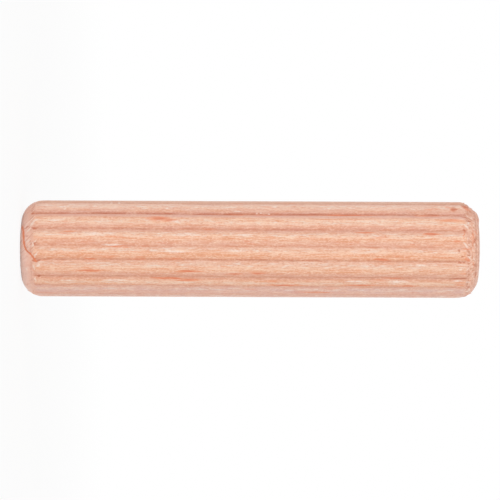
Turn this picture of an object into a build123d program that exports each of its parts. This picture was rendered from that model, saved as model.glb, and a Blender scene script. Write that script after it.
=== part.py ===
from build123d import *
import os

# Fluted wooden dowel pin, all sizes in millimetres.
# It stands on one sawn end: the origin is the centre of that end and +Z runs up the axis.

# the turned blank
pin_diameter = 8.0
pin_length = 38.0
end_round_radius = 1.65

# the flutes pressed along the barrel
flute_count = 18
flute_depth = 0.25
flute_mouth_width = 0.5
flute_root_radius = 0.09
flute_shoulder_radius = 0.15

# the closed flute ends, where the rounded ends were burnished over them
flute_end_setback = 1.0
flute_run_out = 0.4

pin_radius = pin_diameter / 2
flute_floor_radius = pin_radius - flute_depth
# the first flute lies half a pitch off +X, so that a ridge is centred on +X
first_flute_angle = 180 / flute_count


with BuildPart() as dowel_pin:
    # cross-section of the barrel: a round bar with V flutes, rounded at the root and at both shoulders
    with BuildSketch(Plane.XY) as fluted_section:
        Circle(pin_radius)
        with PolarLocations(0, flute_count, start_angle=first_flute_angle):
            # the V's walls keep their slope out past the bar, so that they cut it cleanly
            Polygon(
                (flute_floor_radius, 0),
                (pin_radius + flute_depth, -flute_mouth_width),
                (pin_radius + flute_depth, flute_mouth_width),
                align=None,
                mode=Mode.SUBTRACT,
            )
        roots = fluted_section.vertices().group_by(SortBy.DISTANCE)[0]
        fillet(roots, flute_root_radius)
        shoulders = fluted_section.vertices().group_by(SortBy.DISTANCE)[-1]
        fillet(shoulders, flute_shoulder_radius)
    extrude(amount=pin_length)

    # both ends are solid wood: each flute's floor slopes up to the surface short of the end
    with BuildSketch(Plane.XZ) as closed_ends:
        with BuildLine():
            Polyline(
                (0, 0),
                (pin_radius, 0),
                (pin_radius, flute_end_setback),
                (flute_floor_radius, flute_end_setback + flute_run_out),
                (0, flute_end_setback + flute_run_out),
                close=True,
            )
        make_face()
        mirror(about=Plane.XZ.offset(-pin_length / 2))
    revolve(axis=Axis.Z)

    # the blank: a plain cylinder whose two end edges are rounded over to flat sawn faces
    with BuildSketch(Plane.XZ) as blank_profile:
        Rectangle(pin_radius, pin_length, align=(Align.MIN, Align.MIN))
        fillet(blank_profile.vertices().group_by(Axis.X)[-1], end_round_radius)
    revolve(axis=Axis.Z, mode=Mode.INTERSECT)

dowel_pin.part.label = "dowel_pin"

os.makedirs("parts", exist_ok=True)
export_step(dowel_pin.part, "parts/dowel_pin.step")
print(f"dowel_pin: {dowel_pin.part.volume:.2f} mm3, {len(dowel_pin.part.faces())} faces")
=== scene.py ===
import math
import bpy
from mathutils import Matrix, Vector


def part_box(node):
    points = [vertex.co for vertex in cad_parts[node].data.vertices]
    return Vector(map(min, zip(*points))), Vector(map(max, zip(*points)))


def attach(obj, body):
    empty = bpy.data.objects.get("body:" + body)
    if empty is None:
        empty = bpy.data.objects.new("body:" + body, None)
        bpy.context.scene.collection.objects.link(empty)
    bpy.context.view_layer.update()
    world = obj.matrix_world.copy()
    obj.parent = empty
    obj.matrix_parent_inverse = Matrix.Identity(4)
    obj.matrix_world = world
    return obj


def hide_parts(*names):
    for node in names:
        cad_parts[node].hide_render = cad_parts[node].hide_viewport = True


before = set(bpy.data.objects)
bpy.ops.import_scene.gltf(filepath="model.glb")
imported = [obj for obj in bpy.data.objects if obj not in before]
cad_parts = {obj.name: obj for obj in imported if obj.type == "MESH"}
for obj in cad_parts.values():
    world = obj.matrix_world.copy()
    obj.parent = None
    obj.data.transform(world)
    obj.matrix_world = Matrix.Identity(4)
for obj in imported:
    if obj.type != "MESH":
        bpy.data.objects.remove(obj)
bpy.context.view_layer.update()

mm = 0.001               # the sizes below are in millimetres, the scene is in metres
pinLow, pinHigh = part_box("dowel_pin")
pinLength = (pinHigh.z - pinLow.z) / mm
pinRadius = pinHigh.x / mm

# the turn at which the camera looks at the pin, in degrees from +X; the angles seen in the picture count
# from there, and the larger ones lie lower in the picture
facing = -84.0


def seen(angle):
    # an angle as seen in the picture, as a turn round the pin in radians
    return math.radians(facing + angle)


class Wire:
    # one socket of a node tree: a sum written on it adds the Math nodes that it needs
    def __init__(self, bench, socket):
        self.bench = bench
        self.socket = socket

    def sum(self, operation, *values):
        return self.bench.node("ShaderNodeMath", {"operation": operation}, dict(enumerate((self, *values))))

    def flipped(self, operation, value):
        # a sum with the value first
        return self.bench.node("ShaderNodeMath", {"operation": operation}, {0: value, 1: self})

    def __add__(self, value):
        return self.sum("ADD", value)

    def __radd__(self, value):
        return self.sum("ADD", value)

    def __sub__(self, value):
        return self.sum("SUBTRACT", value)

    def __rsub__(self, value):
        return self.flipped("SUBTRACT", value)

    def __mul__(self, value):
        return self.sum("MULTIPLY", value)

    def __rmul__(self, value):
        return self.sum("MULTIPLY", value)

    def __truediv__(self, value):
        return self.sum("DIVIDE", value)

    def __rtruediv__(self, value):
        return self.flipped("DIVIDE", value)

    def __pow__(self, value):
        return self.sum("POWER", value)

    def __abs__(self):
        return self.sum("ABSOLUTE")

    def least(self, value):
        return self.sum("MINIMUM", value)

    def most(self, value):
        return self.sum("MAXIMUM", value)

    def sine(self):
        return self.sum("SINE")

    def cosine(self):
        return self.sum("COSINE")

    def rise(self, low, high):
        # 0 at low, 1 at high, with a soft start and end; low may be the larger
        return self.bench.node("ShaderNodeMapRange", {"interpolation_type": "SMOOTHSTEP"},
                               {"Value": self, "From Min": low, "From Max": high})

    def between(self, fadeIn, fadeOut):
        # 1 between the two; each is a pair of values, where it is 0 and where it is 1
        return self.rise(*fadeIn) * self.rise(*fadeOut)

    def other(self, name):
        # another output of the same node
        return Wire(self.bench, self.socket.node.outputs[name])


class Bench:
    # a node tree, with the one method that adds a node to it
    def __init__(self, tree):
        self.tree = tree

    def node(self, kind, settings=None, values=None, out=0):
        made = self.tree.nodes.new(kind)
        for name, value in (settings or {}).items():
            if name == "points":               # the points of a curve
                curve = made.mapping.curves[0]
                while len(curve.points) < len(value):
                    curve.points.new(1.0, 1.0)
                for point, place in zip(curve.points, value):
                    point.location = place
                made.mapping.update()
            else:
                setattr(made, name, value)
        for name, value in (values or {}).items():
            if isinstance(value, Wire):
                self.tree.links.new(value.socket, made.inputs[name])
            else:
                made.inputs[name].default_value = value
        return Wire(self, made.outputs[out]) if made.outputs else made

    def vector(self, x, y, z):
        return self.node("ShaderNodeCombineXYZ", {}, {0: x, 1: y, 2: z})

    def scaled(self, place, factors):
        return self.node("ShaderNodeVectorMath", {"operation": "MULTIPLY"}, {0: place, 1: factors})

    def noise(self, place, seed, detail=2.0, roughness=0.5):
        return self.node("ShaderNodeTexNoise", {"noise_dimensions": "4D"},
                         {"Vector": place, "W": seed, "Scale": 1.0, "Detail": detail,
                          "Roughness": roughness})

    def squeezed(self, place, across, along):
        # a pattern laid on this place has the size given, in millimetres across and along the pin
        return self.scaled(place, (1 / across, 1 / across, 1 / along))

    def grain(self, place, across, along, seed, detail=2.0, roughness=0.5):
        return self.noise(self.squeezed(place, across, along), seed, detail, roughness)

    def cells(self, place, across, along):
        # 0 in the middle of each cell, rising outwards
        return self.node("ShaderNodeTexVoronoi", {"feature": "F1"},
                         {"Vector": self.squeezed(place, across, along), "Scale": 1.0})

    def curve(self, degrees, points, span):
        # a smooth line through points over the whole turn; its results lie from -span to span
        placed = [((x + 180) / 360, 0.5 + y / (2 * span)) for x, y in points]
        share = self.node("ShaderNodeFloatCurve", {"points": placed}, {"Value": (degrees + 180) / 360})
        return (share - 0.5) * (2 * span)

    def blendColour(self, share, first, second):
        return self.node("ShaderNodeMix", {"data_type": "RGBA"}, {0: share, 6: first, 7: second}, out=2)


def paint(red, green, blue):
    # a colour as a paint program shows it (0 to 255), for a shader socket
    def linear(level):
        level = level / 255
        return level / 12.92 if level <= 0.04045 else ((level + 0.055) / 1.055) ** 2.4
    return (linear(red), linear(green), linear(blue), 1.0)


# grain by name: the size of its streaks across and along the pin, seed, detail, roughness
grains = {
    "wander": (2.2, 7.0, 3.0, 3.0, 0.55),      # of the flutes
    "stops": (1.1, 40.0, 5.0, 0.0),            # where each flute stops
    "push": (0.3, 0.8, 41.0, 2.0, 0.6),        # on the edges of marks
    "crackEdge": (0.25, 0.25, 61.0, 1.0),
    "warp": (3.0, 14.0, 20.0),                 # of the growth rings
    "sway": (1.2, 5.0, 28.0),                  # of the fibres
    "broad": (0.7, 6.0, 21.0),
    "streak": (0.13, 4.0, 22.0, 3.0, 0.65),
    "fine": (0.09, 0.8, 23.0, 2.0, 0.7),
    "threads": (0.06, 2.2, 32.0, 1.0),
    "specks": (0.1, 0.2, 25.0, 2.0, 0.6),
    "patches": (0.35, 1.6, 26.0, 3.0),         # in the grey beside the flutes
    "breaks": (0.6, 1.8, 24.0, 3.0),           # in the pressed lines
    "frays": (0.1, 1.3, 43.0, 2.0, 0.6),       # on the flecks
    "glints": (0.09, 0.8, 31.0, 3.0, 0.7),
    "rubbing": (0.7, 0.7, 33.0),
    "rims": (0.8, 0.8, 27.0),
    "ledge": (0.5, 0.5, 29.0),
    "ledgeBreaks": (0.9, 0.9, 30.0),
}

flutes = {
    "count": 18,
    "first": 10.0,             # degrees from +X
    "depth": 0.2,
    "depthShare": (0.85, 0.3),  # of the depth: the least, and how much more there may be
    "depthWave": (3.0, 12.0),  # how quickly it changes across and along
    "steepSide": (0.0, 0.42),  # from the pressed line, the flute climbs at once on this side, up to here
    "flatSide": (0.07, 0.4),   # and on the other side it stays low for a little, and then climbs
    "sharpness": 1.6,          # 1 is a straight flank, more makes rounder ridges
    "line": 0.04,              # the pressed line along the bottom, deeper than the rest
    "lineHalf": 0.12,          # half its width, as a share of the way from flute to flute
    "closedAt": 0.95,          # from the end face
    "openAt": 1.3,             # from here it has its full depth
    "stopsUneven": 0.5,
    "twist": 1.9,              # degrees from end to end
    "wander": 2.6,
    # how far the real flutes stray from an even spacing, in degrees, at angles seen in the picture
    "mostDrift": 10,
    "drift": [(-150, 0), (-113, -6), (-96, -10), (-76, -9.5), (-48.6, -2.6), (-24.4, 1.6), (-3, 3),
              (13.6, -0.4), (36.6, 2.6), (50, -4), (72.4, -1.6), (98, 4), (130, 0)],
    # how deep each of them is pressed, and how plain the line along its bottom is
    "strength": [(-150, 0.85), (-96, 0.8), (-73, 0.9), (-48.6, 0.9), (-24.4, 0.85), (-3, 0.4),
                 (13.6, 0.65), (36.6, 0.8), (50, 0.1), (72.4, 0.8), (130, 0.85)],
    "lines": [(-150, 0.6), (-96, 0.5), (-76, 0.5), (-48.6, 1.0), (-36, 0.6), (-24.4, 0.5), (-3, 0.3),
              (13.6, 0.6), (36.6, 0.45), (50, 0.35), (62, 0.6), (72.4, 0.5), (130, 0.6)],
    # how much grey painted sheen, where the wood reflects the white surround, lies beside them
    "sheenGrey": [(-150, 0.4), (-96, 0.4), (-80, 0.4), (-71, 0.65), (-62, 0.4), (-54, 0.45), (-47, 0.8),
             (-41, 0.5), (-35, 0), (-25, 0.5), (-20, 0.15), (-14, 0), (-5, 0.4), (1, 0.05), (7, 0),
             (14, 0.1), (20, 0.05), (26, 0), (33, 0.45), (40, 0.05), (45, 0), (50, 0.55), (62, 1.0),
             (69, 0.45), (78, 0.7), (98, 0.5), (130, 0.4)],
    # painted shade along the edge that lies uppermost in the picture
    "edgeShade": [(-150, 0.0), (-112, 0.1), (-96, 0.4), (-80, 0.38), (-70, 0.2), (-62, 0.0), (-50, 0.0),
             (130, 0.0)],
    "greyOnEnds": 0.35,        # the share of the grey on the rounded ends
    # where the painted shade and sheen of the two flanks fade in and out, as shares of the way from flute
    # to flute
    "below": ((-0.02, 0.04), (0.42, 0.16)),
    "above": ((-0.3, -0.08), (0.02, -0.04)),
    # where the painted highlight crown of each ridge lies, from 0 at the line above it to 1 at the line
    # below
    "litCrown": [(-150, 0.4), (-80, 0.4), (-72, 0.58), (-28, 0.58), (-22, 0.4), (34, 0.39),
              (39, 0.64), (47, 0.64), (52, 0.4), (130, 0.4)],
    "crownHalf": (0.24, 0.04),  # it fades in from its edge to its middle
    # painted shade below the crown: the lower part of each ridge turns more orange
    "crownShade": (0.05, 0.35),  # below it the wood turns more orange
    "glintsAbove": 0.04,       # the glints lie a little above its middle
    "glintsFrom": (0.9, 1.6),  # and keep away from the end faces
}


def aroundPin(points):
    # points at angles seen in the picture, as points over the whole turn in degrees
    turned = sorted(((facing + angle + 180) % 360 - 180, value) for angle, value in points)
    first, last = turned[0], turned[-1]
    share = (180 - last[0]) / (first[0] + 360 - last[0])
    seam = last[1] + (first[1] - last[1]) * share
    return [(-180, seam)] + [point for point in turned if -179 < point[0] < 179] + [(180, seam)]


def shareRound(b, degrees, points):
    # a share that changes round the pin
    return b.curve(degrees, aroundPin(points), 2)


def laneOf(b, turn, high, place):
    # the angle round the pin in degrees, following the slow twist and the wander of the flutes
    wander = (b.grain(place, *grains["wander"]) - 0.5) * flutes["wander"]
    twist = (high / pinLength - 0.5) * flutes["twist"]
    lane = turn * (180 / math.pi) - twist + wander
    return lane - (lane / 360).sum("ROUND") * 360


def flutePhase(b, lane):
    # the way across a flute, -0.5 to 0.5: 0 at its pressed line, growing towards the picture's lower side
    drift = b.curve(lane, aroundPin(flutes["drift"]), flutes["mostDrift"])
    phase = (lane - drift - flutes["first"]) * (flutes["count"] / 360)
    return phase - phase.sum("ROUND")


def fluteOpen(b, height, place):
    # 1 along the barrel, 0 over the rounded ends; each flute stops at its own place
    uneven = (b.grain(place, *grains["stops"]) - 0.5) * flutes["stopsUneven"]
    return (height + uneven).rise(flutes["closedAt"], flutes["openAt"])


# marks on the side that the camera sees: the angle as seen in the picture and the height of each middle,
# half the width, half the length, and the slant in degrees where a mark doesn't lie along the grain; most
# were picked in the photo and converted into these numbers outside this script
marks = {
    "push": (0.05, 0.6),       # how far their edges are pushed about, round in radians and along
    "nicks": [
        (-28.9, 0.6, 0.09, 0.21, -33), (-15.9, 0.67, 0.08, 0.1, -36), (-5.5, 1.42, 0.07, 0.23, -59),
        (-25.4, 1.29, 0.12, 0.22, 4), (-47.9, 1.16, 0.12, 0.23, 10), (15.5, 1.29, 0.09, 0.16, 42),
        (15.3, 1.58, 0.08, 0.24, -28), (36.2, 1.63, 0.1, 0.16, -21), (-4.9, 1.02, 0.05, 0.19, -54),
        (4.0, 0.7, 0.06, 0.25, 53), (-67.0, 36.74, 0.45, 0.27), (-57.2, 35.81, 0.24, 0.32, -12),
        (-43.9, 36.67, 0.08, 0.29, 18), (-38.5, 36.99, 0.08, 0.29, -20), (-24.8, 36.65, 0.12, 0.15, 34),
        (1.4, 36.2, 0.12, 0.13, 18), (6.7, 36.96, 0.05, 0.25, 10), (8.3, 36.46, 0.07, 0.1, -24),
        (15.5, 36.27, 0.09, 0.13, 23), (15.7, 36.57, 0.06, 0.13, 35), (55.4, 37.14, 0.13, 0.14, 22),
        (-12.5, 37.43, 0.06, 0.44, -78), (38.2, 36.12, 0.06, 0.82, -2), (37.4, 37.6, 0.05, 0.4, 93),
    ],
    "shavings": [
        (-33.1, 1.24, 0.14, 0.49, -43), (-23.9, 0.85, 0.08, 0.25, -37), (-5.6, 1.28, 0.07, 0.47, -62),
        (-3.9, 0.96, 0.06, 0.32, -60), (7.9, 1.42, 0.09, 0.35, -65), (23.4, 1.29, 0.1, 0.29, 71),
        (20.5, 1.63, 0.09, 0.22, -43), (40.1, 1.37, 0.08, 0.24, 76), (27.5, 0.66, 0.05, 0.29, -60),
        (-9.8, 0.8, 0.05, 0.27, -54), (-29.7, 36.76, 0.09, 0.28, 48), (-35.3, 37.01, 0.09, 0.23, -35),
        (-5.8, 36.67, 0.11, 0.32, 59), (9.3, 36.98, 0.07, 0.25, 41), (24.2, 36.33, 0.09, 0.15, -7),
        (24.5, 36.86, 0.08, 0.15, -36), (-66.0, 36.4, 0.1, 0.14, 20), (63.1, 37.03, 0.11, 0.18, -19),
        (11.8, 37.43, 0.05, 0.31, 80), (43.3, 36.97, 0.07, 0.22, 1),
    ],
    "stains": [
        (-10.3, 35.99, 0.07, 0.43, 3), (-37.2, 35.56, 0.16, 1.04, -1), (46.7, 36.36, 0.1, 0.44, 7),
        (12.0, 36.87, 0.12, 0.23, 54), (-24.3, 37.61, 0.09, 0.2, 75), (-0.9, 36.84, 0.07, 0.38, -5),
        (-62.4, 35.28, 0.13, 0.17, -21), (68.0, 2.1, 0.16, 0.8, 0), (-17.5, 36.58, 0.06, 0.45, 90),
        (-14.7, 37.28, 0.05, 1.07, 90), (18.2, 37.33, 0.05, 0.25, 64), (-62.0, 36.9, 0.3, 0.3, -30),
        (-66.5, 36.7, 0.4, 0.3), (-57.4, 35.8, 0.24, 0.36, -12), (-61.0, 35.5, 0.1, 0.3, 20),
    ],
    "flecks": [
        (-38.6, 11.5, 0.26, 1.1), (-36.0, 12.5, 0.16, 0.9), (-2.6, 8.3, 0.09, 1.0),
        (-20.8, 4.1, 0.07, 1.0), (-18.0, 3.9, 0.05, 0.5), (26.7, 5.9, 0.1, 1.3),
        (27.5, 14.0, 0.09, 1.2), (40.6, 13.9, 0.09, 1.2), (38.3, 12.2, 0.07, 1.3),
        (30.8, 17.7, 0.1, 0.9), (30.4, 19.6, 0.08, 0.9), (47.7, 21.7, 0.1, 1.7), (47.4, 28.1, 0.1, 1.5),
        (-20.8, 28.5, 0.09, 0.8), (12.0, 29.8, 0.1, 0.6), (-19.0, 33.9, 0.12, 0.7),
        (37.3, 30.7, 0.06, 1.0), (48.2, 31.9, 0.09, 0.9), (62.4, 24.3, 0.1, 1.6),
        (-47.6, 19.8, 0.05, 2.6), (-47.4, 27.0, 0.06, 3.6), (-46.8, 34.0, 0.05, 1.2),
        (12.4, 9.9, 0.07, 0.8), (12.6, 6.0, 0.07, 0.7), (-5.4, 27.45, 0.05, 0.09),
    ],
    # pale marks along the ridges: painted highlights, partly on lifted fibres
    "glints": [
        (-55.7, 3.75, 0.07, 0.12), (-57.2, 10.3, 0.07, 0.3), (-57.5, 12.2, 0.07, 0.25),
        (-59.2, 14.6, 0.07, 0.2), (-58.8, 17.1, 0.07, 0.25), (-60.5, 6.2, 0.06, 0.2),
        (-61.5, 21.0, 0.07, 0.3), (-58.0, 25.5, 0.06, 0.2), (-60.0, 29.2, 0.07, 0.25),
        (-57.0, 32.5, 0.06, 0.2), (-59.6, 3.6, 0.09, 0.5), (-35.6, 3.0, 0.08, 0.6),
        (-17.2, 6.2, 0.08, 0.9), (40.9, 7.9, 0.07, 1.0), (-4.4, 7.7, 0.08, 0.8),
        (-35.0, 12.9, 0.11, 0.6), (-16.6, 13.8, 0.08, 1.4), (3.1, 12.8, 0.08, 1.2),
        (-52.9, 18.0, 0.05, 0.4), (-16.9, 18.6, 0.09, 0.7), (2.2, 18.0, 0.06, 1.0),
        (41.2, 27.7, 0.07, 0.9), (41.5, 31.2, 0.07, 0.8), (-35.7, 29.1, 0.09, 0.35),
        (-35.4, 31.1, 0.09, 0.2), (19.0, 33.0, 0.07, 0.6), (40.6, 36.1, 0.06, 0.4),
        (-77.0, 7.45, 0.16, 0.12), (-77.5, 8.1, 0.12, 0.09), (41.2, 4.0, 0.08, 0.7),
        (3.2, 35.7, 0.05, 0.5), (-49.8, 19.6, 0.06, 0.07), (-50.6, 19.9, 0.05, 0.06),
        (-49.6, 20.5, 0.03, 0.12),
    ],
}


def raggedPlace(b, turn, high, place):
    # a place pushed about a little, so that marks have uneven edges
    push = b.grain(place, *grains["push"]) - 0.5
    pushTurn, pushAlong = marks["push"]
    return turn + push * pushTurn, high + push * pushAlong


def marked(b, turn, high, spots, edge=1.3):
    # 1 in the middle of each mark, 0 outside them all; a mark is pointed at both ends, and a larger edge
    # makes it wider and softer
    nearest = 9.0
    for angle, up, wide, long, *slanted in spots:
        slant = math.radians(slanted[0] if slanted else 0)
        sine, cosine = math.sin(slant), math.cos(slant)
        down = seen(angle) * pinRadius
        across = high.sum("MULTIPLY_ADD", -sine / wide, (up * sine - down * cosine) / wide)
        across = turn.sum("MULTIPLY_ADD", pinRadius * cosine / wide, across)
        along = high.sum("MULTIPLY_ADD", cosine / long, -(up * cosine + down * sine) / long)
        along = turn.sum("MULTIPLY_ADD", pinRadius * sine / long, along)
        nearest = along.sum("MULTIPLY_ADD", along, abs(across)).least(nearest)
    return nearest.rise(edge, 0.1)


roundedEnds = {
    "cut": ((0.0, 0.3), (1.5, 1.1)),  # from the face, where the form is rubbed or torn
    "tintTo": (1.35, 1.1),     # and where the colour changes
    # painted light: the lower end, which faces the floor, grows paler towards its face
    "paintedLightTo": (1.4, 0.3),      # the lower end grows paler towards its face
    "faceEdge": (0.12, 0.02),  # where the sawn face begins
    "marksOff": (0.02, 0.25),  # nicks and shavings keep off it
    # at angles seen in the picture: how much the lower end is rubbed, and how much painted shade darkens
    # both ends
    "rubbed": [(-170, 0.3), (-120, 0.8), (-90, 0.9), (-4, 0.9), (14, 0.3), (60, 0.3), (120, 0.3)],
    "endShade": [(-170, 0.0), (-130, 0.1), (-90, 0.55), (-66, 0.5), (-50, 0.36), (-22, 0.0), (30, 0.0),
             (120, 0.0)],
    "rubSlant": 1.1,           # how far a rubbed fibre goes round for each millimetre up
    "rubWidth": 0.17,
    "rubLength": 1.6,
    "tornSize": (0.22, 0.22, 0.3),
    "tornBend": 3.0,
    "tornBendSize": 0.7,
    # two lines round the upper end: from its face, half the width, how plain
    "rims": [(0.12, (0.08, 0.02), 1.0), (0.4, (0.1, 0.02), 0.7)],
    "rimsUneven": 0.16,
    "ledge": 1.03,             # a broken line where the cutter stopped
    "ledgeHalf": (0.07, 0.01),
    "ledgeUneven": 0.5,
}

crack = {
    # most angles were converted outside this script too, and most heights were changed afterwards
    "path": [(-38, 0.16), (-28.7, 0.3), (-17.1, 0.38), (-5.7, 0.45), (1.5, 0.6), (5.7, 0.9), (12.2, 1.26),
             (18, 1.5)],
    "within": ((-42, -34), (19, 15)),  # the angles at which it fades in and out
    "half": 0.09,
    "depth": 0.045,
    "uneven": 0.14,
}


def cracked(b, turn, high, place):
    # 1 along a fine crack round the shoulder of the lower end
    degrees = turn * (180 / math.pi)
    path = b.curve(degrees, [(facing + angle, up) for angle, up in crack["path"]], 2)
    uneven = (b.grain(place, *grains["crackEdge"]) - 0.5) * crack["uneven"]
    within = degrees.between(*((facing + first, facing + last) for first, last in crack["within"]))
    return abs(high - path + uneven).rise(crack["half"] * 1.5, crack["half"] * 0.4) * within


def scratches(b, turn, height, seed):
    # fibres rubbed aslant over the rounded ends, where the pin was pointed
    slanted = turn + height * (roundedEnds["rubSlant"] / pinRadius)
    steps = pinRadius / roundedEnds["rubWidth"]
    along = height / roundedEnds["rubLength"]
    return b.noise(b.vector(slanted.cosine() * steps, slanted.sine() * steps, along), seed)


def tornGrain(b, place, seed):
    # short curled fibres, with no one direction, where the cutter tore the wood
    bendSize = roundedEnds["tornBendSize"]
    bend = b.grain(place, bendSize, bendSize, seed, detail=1.0) * roundedEnds["tornBend"]
    straight = b.scaled(place, tuple(1 / size for size in roundedEnds["tornSize"]))
    push = b.vector(bend, bend, bend)
    curled = b.node("ShaderNodeVectorMath", {"operation": "ADD"}, {0: straight, 1: push})
    return b.noise(curled, seed + 1, roughness=0.6)


pin = {
    "seed": 11.0,              # the rubbed and torn grain in the wood's colour follows it too
    "aroundSteps": 440,
    "alongSteps": 206,
    "endCrowding": 0.5,        # rows lie closer together towards the ends
    "endRound": 1.65,
    "proud": 0.03,             # what the ridges stand out before they are trimmed to the full radius
    "proudFrom": (1.2, 2.6),   # it grows between these heights
    "waist": 0.025,
    "waistAt": 16.0,
    "waistHalf": 9.0,
    "unevenness": 0.05,
    "unevenSize": (2.5, 5.0),  # across and along
    "quiet": 0.4,              # where the noise is less than this, it leaves the surface as it is
    "fibreRelief": 0.1,
    "fibreSize": (0.26, 4.0),
    "fibresOnFaces": 0.3,      # the share of them on the sawn faces
    "sawnRelief": 0.04,
    "sawnSize": (0.35, 0.5),
    "scratchRelief": 0.05,
    "tornRelief": 0.035,
    "shoulderStep": 0.012,     # the cutter stopped at a small step, just outside the flutes
    "step": ((0.3, 0.8), (1.16, 1.0)),
    "nickDepth": 0.05,
    "shavingRise": 0.05,
    # a chip and a swelling of the upper end: angle seen, from the end, depth, half height, half width
    "chip": (-86, 0.66, 0.14, 0.5, 1.1),
    "lip": (-66, 0.14, -0.1, 0.3, 1.3),
    "mergeWithin": 0.0002,     # the sheet's seam and the middles of its ends close up
    "fibreFlatness": 0.7,      # of the loose fibres, 1 is round
}

# fibres that stand off the rounded ends: how many, between what heights, length, thickness, slant and lift
# in degrees; the last is 1 where they point up the pin and -1 where they point down
looseFibres = {
    "upperEnd": (150, (36.75, 37.5), (0.18, 0.42), (0.03, 0.055), (-55, 55), (1, 9), 1),
    "lowerEnd": (60, (0.6, 1.25), (0.2, 0.42), (0.025, 0.045), (-50, -25), (1, 6), -1),
}


def addInputs(tree, sizes):
    tree.interface.new_socket("Geometry", in_out="INPUT", socket_type="NodeSocketGeometry")
    for name in sizes:
        tree.interface.new_socket(name, in_out="INPUT", socket_type="NodeSocketFloat")
    tree.interface.new_socket("Geometry", in_out="OUTPUT", socket_type="NodeSocketGeometry")


def growMesh(name, tree, sizes):
    # runs a tree and keeps what it makes as a plain mesh
    holder = bpy.data.objects.new(name + "Seed", bpy.data.meshes.new(name + "Seed"))
    bpy.context.scene.collection.objects.link(holder)
    modifier = holder.modifiers.new("form", "NODES")
    modifier.node_group = tree
    for item in tree.interface.items_tree:
        if item.item_type == "SOCKET" and item.in_out == "INPUT" and item.name in sizes:
            modifier[item.identifier] = sizes[item.name]
    graph = bpy.context.evaluated_depsgraph_get()
    mesh = bpy.data.meshes.new_from_object(holder.evaluated_get(graph), depsgraph=graph)
    holder.modifiers.remove(modifier)
    bpy.data.objects.remove(holder)
    piece = bpy.data.objects.new(name, mesh)
    bpy.context.scene.collection.objects.link(piece)
    print(name, "has", len(mesh.vertices), "points and", len(mesh.polygons), "faces")
    return piece


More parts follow.
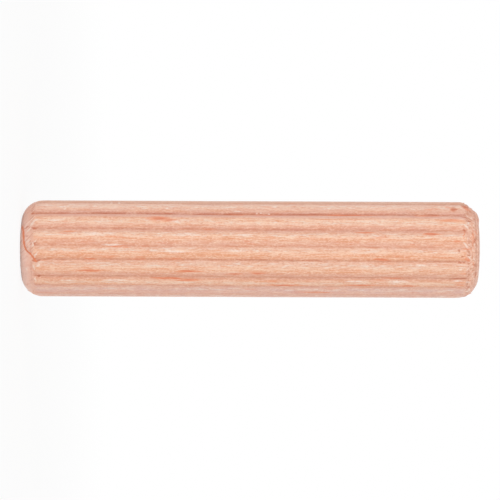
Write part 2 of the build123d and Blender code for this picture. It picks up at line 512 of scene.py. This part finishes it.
def growPin(material):
    # a sheet of points is wrapped round and drawn in over both ends, then sunk by its flutes and fibres
    tree = bpy.data.node_groups.new("pinForm", "GeometryNodeTree")
    b = Bench(tree)
    sizes = {"Length": pinLength, "Radius": pinRadius, "End Round": pin["endRound"],
             "Flute Depth": flutes["depth"], "Fibre Relief": pin["fibreRelief"], "Seed": pin["seed"]}
    addInputs(tree, sizes)
    given = b.node("NodeGroupInput")
    length = given.other("Length")
    radius = given.other("Radius")
    endRound = given.other("End Round")
    seed = given.other("Seed")

    sheet = b.node("GeometryNodeMeshGrid", {}, {"Size X": 1.0, "Size Y": 1.0,
                   "Vertices X": pin["aroundSteps"] + 1, "Vertices Y": pin["alongSteps"]})
    spread = b.node("ShaderNodeSeparateXYZ", {}, {0: b.node("GeometryNodeInputPosition")})
    turn = spread.other("X") * (2 * math.pi)
    share = spread.other("Y") + 0.5

    # the way over the pin from the middle of one end face to the middle of the other
    flatEnd = radius - endRound
    wholeWay = 2 * (flatEnd + endRound * (math.pi / 2)) + length - endRound * 2
    way = wholeWay * (share - (share * (2 * math.pi)).sine() * (pin["endCrowding"] / (2 * math.pi)))
    side = way.least(wholeWay - way)
    lean = ((side - flatEnd) / endRound).most(0.0).least(math.pi / 2)
    out = side.least(flatEnd) + endRound * lean.sine()
    height = endRound * (1 - lean.cosine()) + (side - flatEnd - endRound * (math.pi / 2)).most(0.0)
    upper = share.sum("GREATER_THAN", 0.5)
    high = height + upper * (length - height * 2)
    place = b.vector(turn.cosine() * out, turn.sine() * out, high)

    # flutes: steep from the pressed line on one side, flat at first on the other
    lane = laneOf(b, turn, high, place)
    phase = flutePhase(b, lane)
    steepFrom, steepTo = flutes["steepSide"]
    flatFrom, flatTo = flutes["flatSide"]
    steep = 1 - (phase * -1 - steepFrom).most(0.0) / (steepTo - steepFrom)
    flat = 1 - (phase - flatFrom).most(0.0) / (flatTo - flatFrom)
    hollow = steep.least(flat).most(0.0) ** flutes["sharpness"]
    least, more = flutes["depthShare"]
    depth = least + b.grain(place, *flutes["depthWave"], seed, detail=1.0) * more
    depth = given.other("Flute Depth") * depth
    strength = shareRound(b, lane, flutes["strength"]) * fluteOpen(b, height, place)
    line = abs(phase).rise(flutes["lineHalf"], 0.0) * shareRound(b, lane, flutes["lines"]) * flutes["line"]
    cut = (hollow * depth + line) * strength
    waist = abs(high - pin["waistAt"]).rise(pin["waistHalf"], 0.0) * pin["waist"]
    out = out.least(radius - cut) - waist

    # fibres, the sawn faces and an uneven surface
    barrel = lean / (math.pi / 2)
    quiet = pin["quiet"]
    fibres = b.grain(place, *pin["fibreSize"], seed + 1, detail=1.0, roughness=0.6).most(quiet) - quiet
    fibres = fibres * given.other("Fibre Relief")
    uneven = (b.grain(place, *pin["unevenSize"], seed + 2).most(quiet) - quiet) * pin["unevenness"]
    sawn = b.grain(place, *pin["sawnSize"], seed + 3, detail=1.0) * pin["sawnRelief"] * (1 - barrel)
    onFaces = pin["fibresOnFaces"]
    dent = fibres * (onFaces + barrel * (1 - onFaces)) + uneven + sawn

    # the rounded ends: a small step outside the flutes, one end rubbed aslant, the other torn
    shoulder = height.between(*roundedEnds["cut"])
    dent = dent + height.between(*pin["step"]) * pin["shoulderStep"]
    dent = dent + (1 - upper) * shoulder * scratches(b, turn, height, seed + 4) * pin["scratchRelief"]
    dent = dent + upper * shoulder * tornGrain(b, place, seed + 6) * pin["tornRelief"]
    turnNear, highNear = raggedPlace(b, turn, high, place)
    offFace = height.rise(*roundedEnds["marksOff"])
    dent = dent + marked(b, turnNear, highNear, marks["nicks"]) * offFace * pin["nickDepth"]
    dent = dent - marked(b, turnNear, highNear, marks["shavings"]) * offFace * pin["shavingRise"]
    dent = dent + cracked(b, turn, high, place) * crack["depth"]
    for spot in ("chip", "lip"):
        angle, fromEnd, deep, halfHigh, halfWide = pin[spot]
        apart = (turn - seen(angle)) / (2 * math.pi)
        apart = (apart - apart.sum("ROUND")) * (2 * math.pi * pinRadius / halfWide)
        away = apart ** 2.0 + ((length - high - fromEnd) / halfHigh) ** 2.0
        dent = dent + away.rise(1.0, 0.0) * lean.rise(0.0, 0.35) * deep
    out = (out + height.rise(*pin["proudFrom"]) * pin["proud"] - dent * lean.sine()).least(radius)
    height = (height + dent * lean.cosine()).most(0.0)
    high = height + upper * (length - height * 2)

    wrapped = b.vector(turn.cosine() * out, turn.sine() * out, high)
    metres = b.node("ShaderNodeVectorMath", {"operation": "SCALE"}, {0: wrapped, "Scale": mm})
    body = b.node("GeometryNodeSetPosition", {}, {"Geometry": sheet, "Position": metres})
    within = pin["mergeWithin"] * mm
    closed = b.node("GeometryNodeMergeByDistance", {}, {"Geometry": body, "Distance": within})
    closed = b.node("GeometryNodeSetShadeSmooth", {}, {"Geometry": closed, "Shade Smooth": True})
    joined = b.node("GeometryNodeJoinGeometry", {}, {"Geometry": closed})
    for number, setting in enumerate(looseFibres.values()):
        loose = standFibres(b, closed, number * 10, *setting)
        tree.links.new(loose.socket, joined.socket.node.inputs["Geometry"])
    real = b.node("GeometryNodeRealizeInstances", {}, {"Geometry": joined})

    # nothing stands out past the full radius or the ends
    there = b.node("GeometryNodeInputPosition")
    level = b.scaled(there, (1, 1, 0))
    fromAxis = b.node("ShaderNodeVectorMath", {"operation": "LENGTH"}, {0: level}, out=1)
    inside = (pinRadius * mm / fromAxis.most(mm)).least(1.0)
    trimmed = b.scaled(there, b.vector(inside, inside, 1.0))
    trimmed = b.node("ShaderNodeVectorMath", {"operation": "MAXIMUM"}, {0: trimmed, 1: tuple(pinLow)})
    trimmed = b.node("ShaderNodeVectorMath", {"operation": "MINIMUM"}, {0: trimmed, 1: tuple(pinHigh)})
    real = b.node("GeometryNodeSetPosition", {}, {"Geometry": real, "Position": trimmed})
    painted = b.node("GeometryNodeSetMaterial", {}, {"Geometry": real, "Material": material})
    b.node("NodeGroupOutput", {}, {"Geometry": painted})
    return growMesh("dowel_wood", tree, sizes)


def standFibres(b, body, seed, count, heights, lengths, thickness, slants, lifts, way):
    # thin pointed fibres with their roots in the surface of the pin, found by a ray from outside
    def random(low, high, draw):
        settings = {"data_type": "FLOAT"}
        return b.node("FunctionNodeRandomValue", settings, {2: low, 3: high, 8: seed + draw}, out=1)
    turn = random(-math.pi, math.pi, 1)
    high = random(*heights, 2)
    outward = b.vector(turn.cosine(), turn.sine(), 0.0)
    start = b.vector(turn.cosine() * (pinRadius * 2 * mm), turn.sine() * (pinRadius * 2 * mm), high * mm)
    inward = b.node("ShaderNodeVectorMath", {"operation": "SCALE"}, {0: outward, "Scale": -1.0})
    points = b.node("GeometryNodePoints", {}, {"Count": count})
    ray = b.node("GeometryNodeRaycast", {}, {"Target Geometry": body, "Source Position": start,
                 "Ray Direction": inward, "Ray Length": pinRadius * 2 * mm}, out=1)
    placed = b.node("GeometryNodeSetPosition", {}, {"Geometry": points, "Position": ray})

    # a fibre is a cone with its root at the origin, and it follows the round of the end
    cone = b.node("GeometryNodeMeshCone", {}, {"Vertices": 5, "Side Segments": 3,
                  "Radius Top": 0.0, "Radius Bottom": 1.0, "Depth": 1.0})
    upperRound = ((high - pinLength) / pin["endRound"] + 1).most(0.0).least(1.0).sum("ARCSINE")
    lowerRound = (1 - high / pin["endRound"]).most(0.0).least(1.0).sum("ARCSINE")
    slant = random(*(math.radians(angle) for angle in slants), 4) + (math.pi if way < 0 else 0.0)
    lift = random(*(math.radians(angle) for angle in lifts), 5) * way + lowerRound - upperRound
    turned = b.node("FunctionNodeEulerToRotation", {}, {0: b.vector(slant, lift, turn)})
    thick = random(*thickness, 6) * mm
    size = b.vector(thick * pin["fibreFlatness"], thick, random(*lengths, 7) * mm)
    return b.node("GeometryNodeInstanceOnPoints", {}, {"Points": placed, "Instance": cone,
                  "Rotation": turned, "Scale": size})


wood = {
    "pale": paint(255, 216, 189),
    "middle": paint(245, 189, 155),
    "orange": paint(231, 149, 105),
    # painted shade on the lower flank of each ridge, also the colour of dark specks
    "flankAbove": paint(228, 158, 121),
    # painted shade and sheen just below each pressed line
    "flankBelow": paint(226, 166, 139),
    # painted sheen, where the wood reflects the white surround
    "sheenGrey": paint(229, 180, 169),
    # painted shade along the uppermost edge
    "edgeShade": paint(200, 168, 150),
    # the pressed line, partly darkened with painted shade in the groove
    "line": paint(194, 110, 76),
    "fleck": paint(238, 136, 89),
    "fleckCore": paint(214, 108, 70),
    # painted highlights, and the pale colour of lifted, rubbed and torn fibres
    "glint": paint(255, 234, 220),
    "ends": paint(238, 187, 165),
    # dark fibres on the ends, and painted shade on them
    "endsDark": paint(212, 144, 114),
    # painted light on the lower end, which faces the floor
    "lowerEndLight": paint(255, 220, 206),
    "rim": paint(200, 134, 108),
    "nick": paint(198, 100, 60),
    "pit": paint(200, 126, 88),
    "crack": paint(232, 130, 82),
    "ring": paint(222, 158, 126),
    "roughness": 0.55,
    "sheen": 0.1,
    "treeAt": (-31.0, 24.0),   # the middle of the tree, for the growth rings
    "ringWidth": 1.5,
    "lateWood": ((0.55, 0.95), (1.0, 0.97)),  # the dark part of a ring, as shares of its width
    "ringWarp": 1.6,
    "rays": 420.0,             # how finely they divide the turn round the middle of the tree
    "raySeed": 71.0,
    "poreSize": (1 / 7, 2 / 3),
    "fleckSize": (0.6, 2.8),
    "fleckFray": (0.07, 2.2),  # round in radians and along
    "sway": 0.4,
    "bump": 0.8,
    "bumpHeight": 0.06,
}


def newMaterial(name):
    material = bpy.data.materials.new(name)
    material.use_nodes = True
    material.node_tree.nodes.clear()
    return material, Bench(material.node_tree)


def layered(b, colour, layers):
    # lays colours over one another: where each of them lies, how strongly, and which it is
    for where, strength, name in layers:
        colour = b.blendColour(where * strength, colour, wood[name])
    return colour


def pinWood():
    material, b = newMaterial("steamedBeech")
    metres = b.node("ShaderNodeTexCoord", out="Object")
    place = b.node("ShaderNodeVectorMath", {"operation": "SCALE"}, {0: metres, "Scale": 1 / mm})
    apart = b.node("ShaderNodeSeparateXYZ", {}, {0: place})
    x, y, z = apart.other("X"), apart.other("Y"), apart.other("Z")
    turn = y.sum("ARCTAN2", x)
    degrees = turn * (180 / math.pi)
    height = z.least(pinLength - z)
    upper = z.rise(pinLength / 2 - 1, pinLength / 2 + 1)
    face = height.rise(*roundedEnds["faceEdge"])
    shoulder = height.rise(*roundedEnds["tintTo"]) * (1 - face)
    lane = laneOf(b, turn, z, place)
    phase = flutePhase(b, lane)
    across = (phase + 1.0).sum("FRACT")        # 0 in one flute, 0.5 on the ridge, 1 in the flute below it
    fromLitCrown = across - shareRound(b, lane, flutes["litCrown"])
    opened = fluteOpen(b, height, place)
    strength = shareRound(b, lane, flutes["strength"]) * opened
    lines = shareRound(b, lane, flutes["lines"]) * opened
    onEnds = flutes["greyOnEnds"]
    sheenGrey = shareRound(b, lane, flutes["sheenGrey"]) * (onEnds + opened * (1 - onEnds)) * (1 - face)
    turnNear, highNear = raggedPlace(b, turn, z, place)

    # growth rings run through the whole pin, so they show on the end faces too
    treeX, treeY = wood["treeAt"]
    warp = (b.grain(place, *grains["warp"]) - 0.5) * wood["ringWarp"]
    fromTree = ((x - treeX) ** 2.0 + (y - treeY) ** 2.0) ** 0.5 + warp
    ring = (fromTree / wood["ringWidth"]).sum("FRACT")
    lateWood = ring.between(*wood["lateWood"])

    # tone: broad bands, painted highlight and shade over each ridge, then streaks and single fibres that
    # sway a little
    sway = (b.grain(place, *grains["sway"]) - 0.5) * wood["sway"]
    swaying = b.node("ShaderNodeVectorMath", {"operation": "ADD"}, {0: place, 1: b.vector(sway, sway, 0.0)})
    broad = b.grain(swaying, *grains["broad"])
    streak = b.grain(swaying, *grains["streak"])
    fine = b.grain(swaying, *grains["fine"])
    threads = b.grain(swaying, *grains["threads"])
    specks = b.grain(place, *grains["specks"])
    colour = b.blendColour(broad.rise(0.3, 0.7), wood["middle"], wood["pale"])
    colour = layered(b, colour, [
        # painted shade over the lower part of each ridge
        (fromLitCrown.rise(*flutes["crownShade"]) * opened, 0.35, "orange"),
        (streak.rise(0.45, 0.62), 0.7, "orange"),
        (lateWood, 0.3, "ring"),
        # painted highlight on the crown of each ridge
        (abs(fromLitCrown).rise(*flutes["crownHalf"]) * opened, 0.35, "pale"),
        (fine.rise(0.5, 0.64), 0.75, "pale"),
        (fine.rise(0.47, 0.33), 0.6, "orange"),
        (threads.rise(0.58, 0.68), 0.5, "fleck"),
        (specks.rise(0.53, 0.68), 0.75, "pale"),
        (specks.rise(0.47, 0.32), 0.65, "flankAbove"),
    ])

    # flanks of the flutes in painted shade and sheen, grey painted sheen, and the pressed line, partly
    # painted shade
    below = phase.between(*flutes["below"])
    above = phase.between(*flutes["above"])
    paintedFlanks = ((below + above) * strength).most(sheenGrey).least(1.0)
    patchy = 0.5 + b.grain(place, *grains["patches"]).rise(0.35, 0.65) * 0.5
    grit = (fine + specks) * 0.5
    broken = 0.4 + b.grain(place, *grains["breaks"]).rise(0.35, 0.62) * 0.42 + grit.rise(0.55, 0.45) * 0.2
    colour = layered(b, colour, [
        # painted shade and sheen on the flanks, and grey painted sheen beside them
        (below * strength, 0.7, "flankBelow"),
        (above * strength, 0.5, "flankAbove"),
        (sheenGrey * patchy, 0.85, "sheenGrey"),
        (grit.rise(0.5, 0.6) * paintedFlanks, 0.45, "pale"),
        (grit.rise(0.48, 0.38) * paintedFlanks, 0.35, "endsDark"),
        # the pressed line, partly darkened with painted shade in the groove
        (abs(phase).rise(flutes["lineHalf"], 0.0) * lines * broken, 1.0, "line"),
    ])

    # short pointed flecks all over, and frayed ones with a red core where the photo's stand out
    cell = b.cells(place, *wood["fleckSize"])
    chosen = b.node("ShaderNodeSeparateColor", {}, {0: cell.other("Color")}).rise(0.6, 0.85)
    fleck = cell.rise(0.36, 0.1) * chosen
    fray = b.grain(swaying, *grains["frays"]) - 0.5
    frayTurn, frayAlong = wood["fleckFray"]
    frayed = marked(b, turn + fray * frayTurn, z + fray * frayAlong, marks["flecks"], 1.6)
    frayed = frayed * (0.8 + streak.rise(0.4, 0.6) * 0.2)

    # painted highlights along the ridges, partly on pale lifted fibres
    crest = abs(fromLitCrown + flutes["glintsAbove"]).rise(*flutes["crownHalf"])
    crest = crest * height.rise(*flutes["glintsFrom"])
    glint = b.grain(swaying, *grains["glints"]).rise(0.5, 0.61) * crest
    spots = marked(b, turnNear, highNear, marks["glints"], 1.9) * (0.45 + specks.rise(0.35, 0.6) * 0.55)
    glint = (glint * 0.8).most(spots)
    colour = layered(b, colour, [
        (fleck, 0.4, "fleck"),
        (glint, 0.9, "glint"),
        (frayed, 0.9, "fleck"),
        (frayed.rise(0.6, 0.95), 0.5, "fleckCore"),
        # painted shade along the uppermost edge
        (shareRound(b, lane, flutes["edgeShade"]), opened, "edgeShade"),
    ])

    # the rounded ends: the lower one rubbed aslant, most on one side, the upper one torn
    rubbed = scratches(b, turn, height, pin["seed"] + 4)
    rubbedHere = shoulder * shareRound(b, degrees, roundedEnds["rubbed"]) * (1 - upper)
    rubbedHere = rubbedHere * (0.3 + b.grain(place, *grains["rubbing"]).rise(0.4, 0.6) * 0.7)
    torn = tornGrain(b, place, pin["seed"] + 6)
    tornHere = shoulder * upper
    fromFace = height + (b.grain(place, *grains["rims"]) - 0.5) * roundedEnds["rimsUneven"]
    rim = 0.0
    for away, half, plain in roundedEnds["rims"]:
        rim = (abs(fromFace - away).rise(*half) * plain).most(rim)
    fromLedge = height - roundedEnds["ledge"]
    fromLedge = fromLedge + (b.grain(place, *grains["ledge"]) - 0.5) * roundedEnds["ledgeUneven"]
    ledge = abs(fromLedge).rise(*roundedEnds["ledgeHalf"])
    ledge = ledge * b.grain(place, *grains["ledgeBreaks"]).rise(0.42, 0.58)
    colour = layered(b, colour, [
        (shoulder, 0.6 - upper * 0.1, "ends"),
        # painted light towards the face of the lower end
        (height.rise(*roundedEnds["paintedLightTo"]) * (1 - upper) * (1 - face), 0.85, "lowerEndLight"),
        # painted shade on both ends, darkest on the side uppermost in the picture
        (shoulder, shareRound(b, degrees, roundedEnds["endShade"]), "endsDark"),
        (rubbed.rise(0.5, 0.62) * rubbedHere, 0.8, "endsDark"),
        (rubbed.rise(0.46, 0.34) * rubbedHere, 0.6, "glint"),
        (torn.rise(0.5, 0.64) * tornHere, 0.75, "endsDark"),
        (torn.rise(0.45, 0.33) * tornHere, 0.6, "glint"),
        (rim * upper * (1 - face), 0.65, "rim"),
        (ledge, 0.3 + upper * 0.25, "nick"),
        (marked(b, turnNear, highNear, marks["stains"], 1.7), 0.65, "fleck"),
        (marked(b, turnNear, highNear, marks["shavings"], 1.6), 0.75, "glint"),
        (marked(b, turnNear, highNear, marks["nicks"], 1.6), 0.7, "nick"),
    ])

    # the sawn faces with pores and rays
    pore = b.cells(place, *wood["poreSize"]).rise(0.28, 0.1) * (0.55 - lateWood * 0.4)
    raysAt = (y - treeY).sum("ARCTAN2", x - treeX) * wood["rays"]
    rays = b.noise(b.vector(raysAt, fromTree / 3.0, z / 2.0), wood["raySeed"]).rise(0.56, 0.72)
    colour = layered(b, colour, [
        (face * lateWood, 0.6, "ring"),
        (face * rays, 0.55, "pale"),
        (face * pore, 0.7, "pit"),
        (cracked(b, turn, z, place), 0.9, "crack"),
    ])

    relief = streak * 0.5 + fine * 0.6 + specks * 0.5 - frayed * 0.2 + glint * 0.3 - face * pore * 0.8
    bump = b.node("ShaderNodeBump", {}, {"Height": relief, "Strength": wood["bump"],
                  "Distance": wood["bumpHeight"] * mm})
    shader = b.node("ShaderNodeBsdfPrincipled", {}, {"Base Color": colour, "Sheen Weight": wood["sheen"],
                    "Roughness": wood["roughness"] - glint * 0.15 + fleck * 0.1, "Normal": bump})
    b.node("ShaderNodeOutputMaterial", {}, {"Surface": shader})
    return material


studio = {
    # sizes and distances are in metres here
    "floorSide": 2.4,
    "floor": (0.93, 0.93, 0.93, 1.0),
    "floorGlow": 0.88,         # how white the camera sees the floor close to the pin
    "glowFrom": 0.02,          # further out the floor fades into the white backdrop
    "glowTo": 0.14,
    "ambient": 0.65,
    # lamps: the angle as seen in the picture, the rise above the floor, distance, size, power
    "lamps": {
        "key": (-42, 6, 0.4, 0.2, 0.452),
        "fill": (48, 5, 0.4, 0.3, 0.402),
        "overhead": (-10, 75, 0.4, 0.4, 0.12),
        "back": (180, 25, 0.4, 0.4, 0.25),
    },
}


def seenByCamera(b):
    path = b.node("ShaderNodeLightPath")
    direct = path.other("Is Camera Ray").most(path.other("Is Glossy Ray"))
    return direct.most(path.other("Is Transmission Ray"))


def layFloor():
    half = studio["floorSide"] / 2
    mesh = bpy.data.meshes.new("floor")
    corners = [(-half, -half, 0), (half, -half, 0), (half, half, 0), (-half, half, 0)]
    mesh.from_pydata(corners, [], [(0, 1, 2, 3)])
    floor = bpy.data.objects.new("floor", mesh)
    bpy.context.scene.collection.objects.link(floor)
    material, b = newMaterial("paleFloor")
    matt = b.node("ShaderNodeBsdfDiffuse", {}, {"Color": studio["floor"]})
    white = b.node("ShaderNodeEmission", {}, {"Color": (1, 1, 1, 1), "Strength": 1.0})
    place = b.node("ShaderNodeTexCoord", out="Object")
    away = b.node("ShaderNodeVectorMath", {"operation": "LENGTH"}, {0: place}, out=1)
    glow = studio["floorGlow"] + away.rise(studio["glowFrom"], studio["glowTo"]) * (1 - studio["floorGlow"])
    both = b.node("ShaderNodeMixShader", {}, {0: seenByCamera(b) * glow, 1: matt, 2: white})
    b.node("ShaderNodeOutputMaterial", {}, {"Surface": both})
    mesh.materials.append(material)


def lightSky():
    world = bpy.data.worlds.new("studio")
    bpy.context.scene.world = world
    world.use_nodes = True
    world.node_tree.nodes.clear()
    b = Bench(world.node_tree)
    light = b.node("ShaderNodeBackground", {}, {"Color": (1, 1, 1, 1), "Strength": studio["ambient"]})
    white = b.node("ShaderNodeBackground", {}, {"Color": (1, 1, 1, 1), "Strength": 1.0})
    both = b.node("ShaderNodeMixShader", {}, {0: seenByCamera(b), 1: light, 2: white})
    b.node("ShaderNodeOutputWorld", {}, {"Surface": both})


def softLamp(name, angle, rise, distance, size, power):
    # a square lamp that looks at the middle of the pin, placed by an angle as seen in the picture
    lamp = bpy.data.lights.new(name, "AREA")
    lamp.shape = "SQUARE"
    lamp.size = size
    lamp.energy = power
    holder = bpy.data.objects.new(name, lamp)
    bpy.context.scene.collection.objects.link(holder)
    lift = math.radians(rise)
    out = math.cos(lift)
    back = Vector((math.cos(seen(angle)) * out, math.sin(seen(angle)) * out, math.sin(lift)))
    holder.rotation_euler = back.to_track_quat("Z", "Y").to_euler()
    holder.location = Vector((0, 0, pinLength * mm / 2)) + back * distance


shot = {
    "distance": 0.225,         # metres
    "pictureSide": 500,        # pixels
    "pixelsPerMm": 11.985,
    "tilt": 0.23,              # degrees, the pin's right end hangs a little
    "middle": (249.9, 249.2),  # where the pin's middle lies in the picture
}


def setCamera():
    # the pin stands, and the camera lies on its side, so that the pin's axis runs across the picture
    lens = bpy.data.cameras.new("camera")
    camera = bpy.data.objects.new("camera", lens)
    bpy.context.scene.collection.objects.link(camera)
    focal = shot["pixelsPerMm"] * shot["distance"] / mm
    lens.lens = focal * lens.sensor_width / shot["pictureSide"]
    lens.clip_start = 0.01
    back = Vector((math.cos(seen(0)), math.sin(seen(0)), 0))
    right = Vector((0, 0, 1))
    up = back.cross(right)
    roll = math.radians(shot["tilt"])
    right, up = right * math.cos(roll) + up * math.sin(roll), up * math.cos(roll) - right * math.sin(roll)
    half = shot["pictureSide"] / 2
    across = (half - shot["middle"][0]) / shot["pixelsPerMm"] * mm
    upward = (shot["middle"][1] - half) / shot["pixelsPerMm"] * mm
    place = Vector((0, 0, pinLength * mm / 2)) + back * shot["distance"] + right * across + up * upward
    camera.matrix_world = Matrix((right, up, back)).transposed().to_4x4()
    camera.location = place
    bpy.context.scene.camera = camera


print("materials")
woodMaterial = pinWood()
print("pin")
dowelWood = growPin(woodMaterial)
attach(dowelWood, "root")
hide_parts("dowel_pin")
print("studio")
layFloor()
lightSky()
for name, setting in studio["lamps"].items():
    softLamp(name, *setting)
setCamera()
bpy.context.scene.view_settings.view_transform = "Standard"
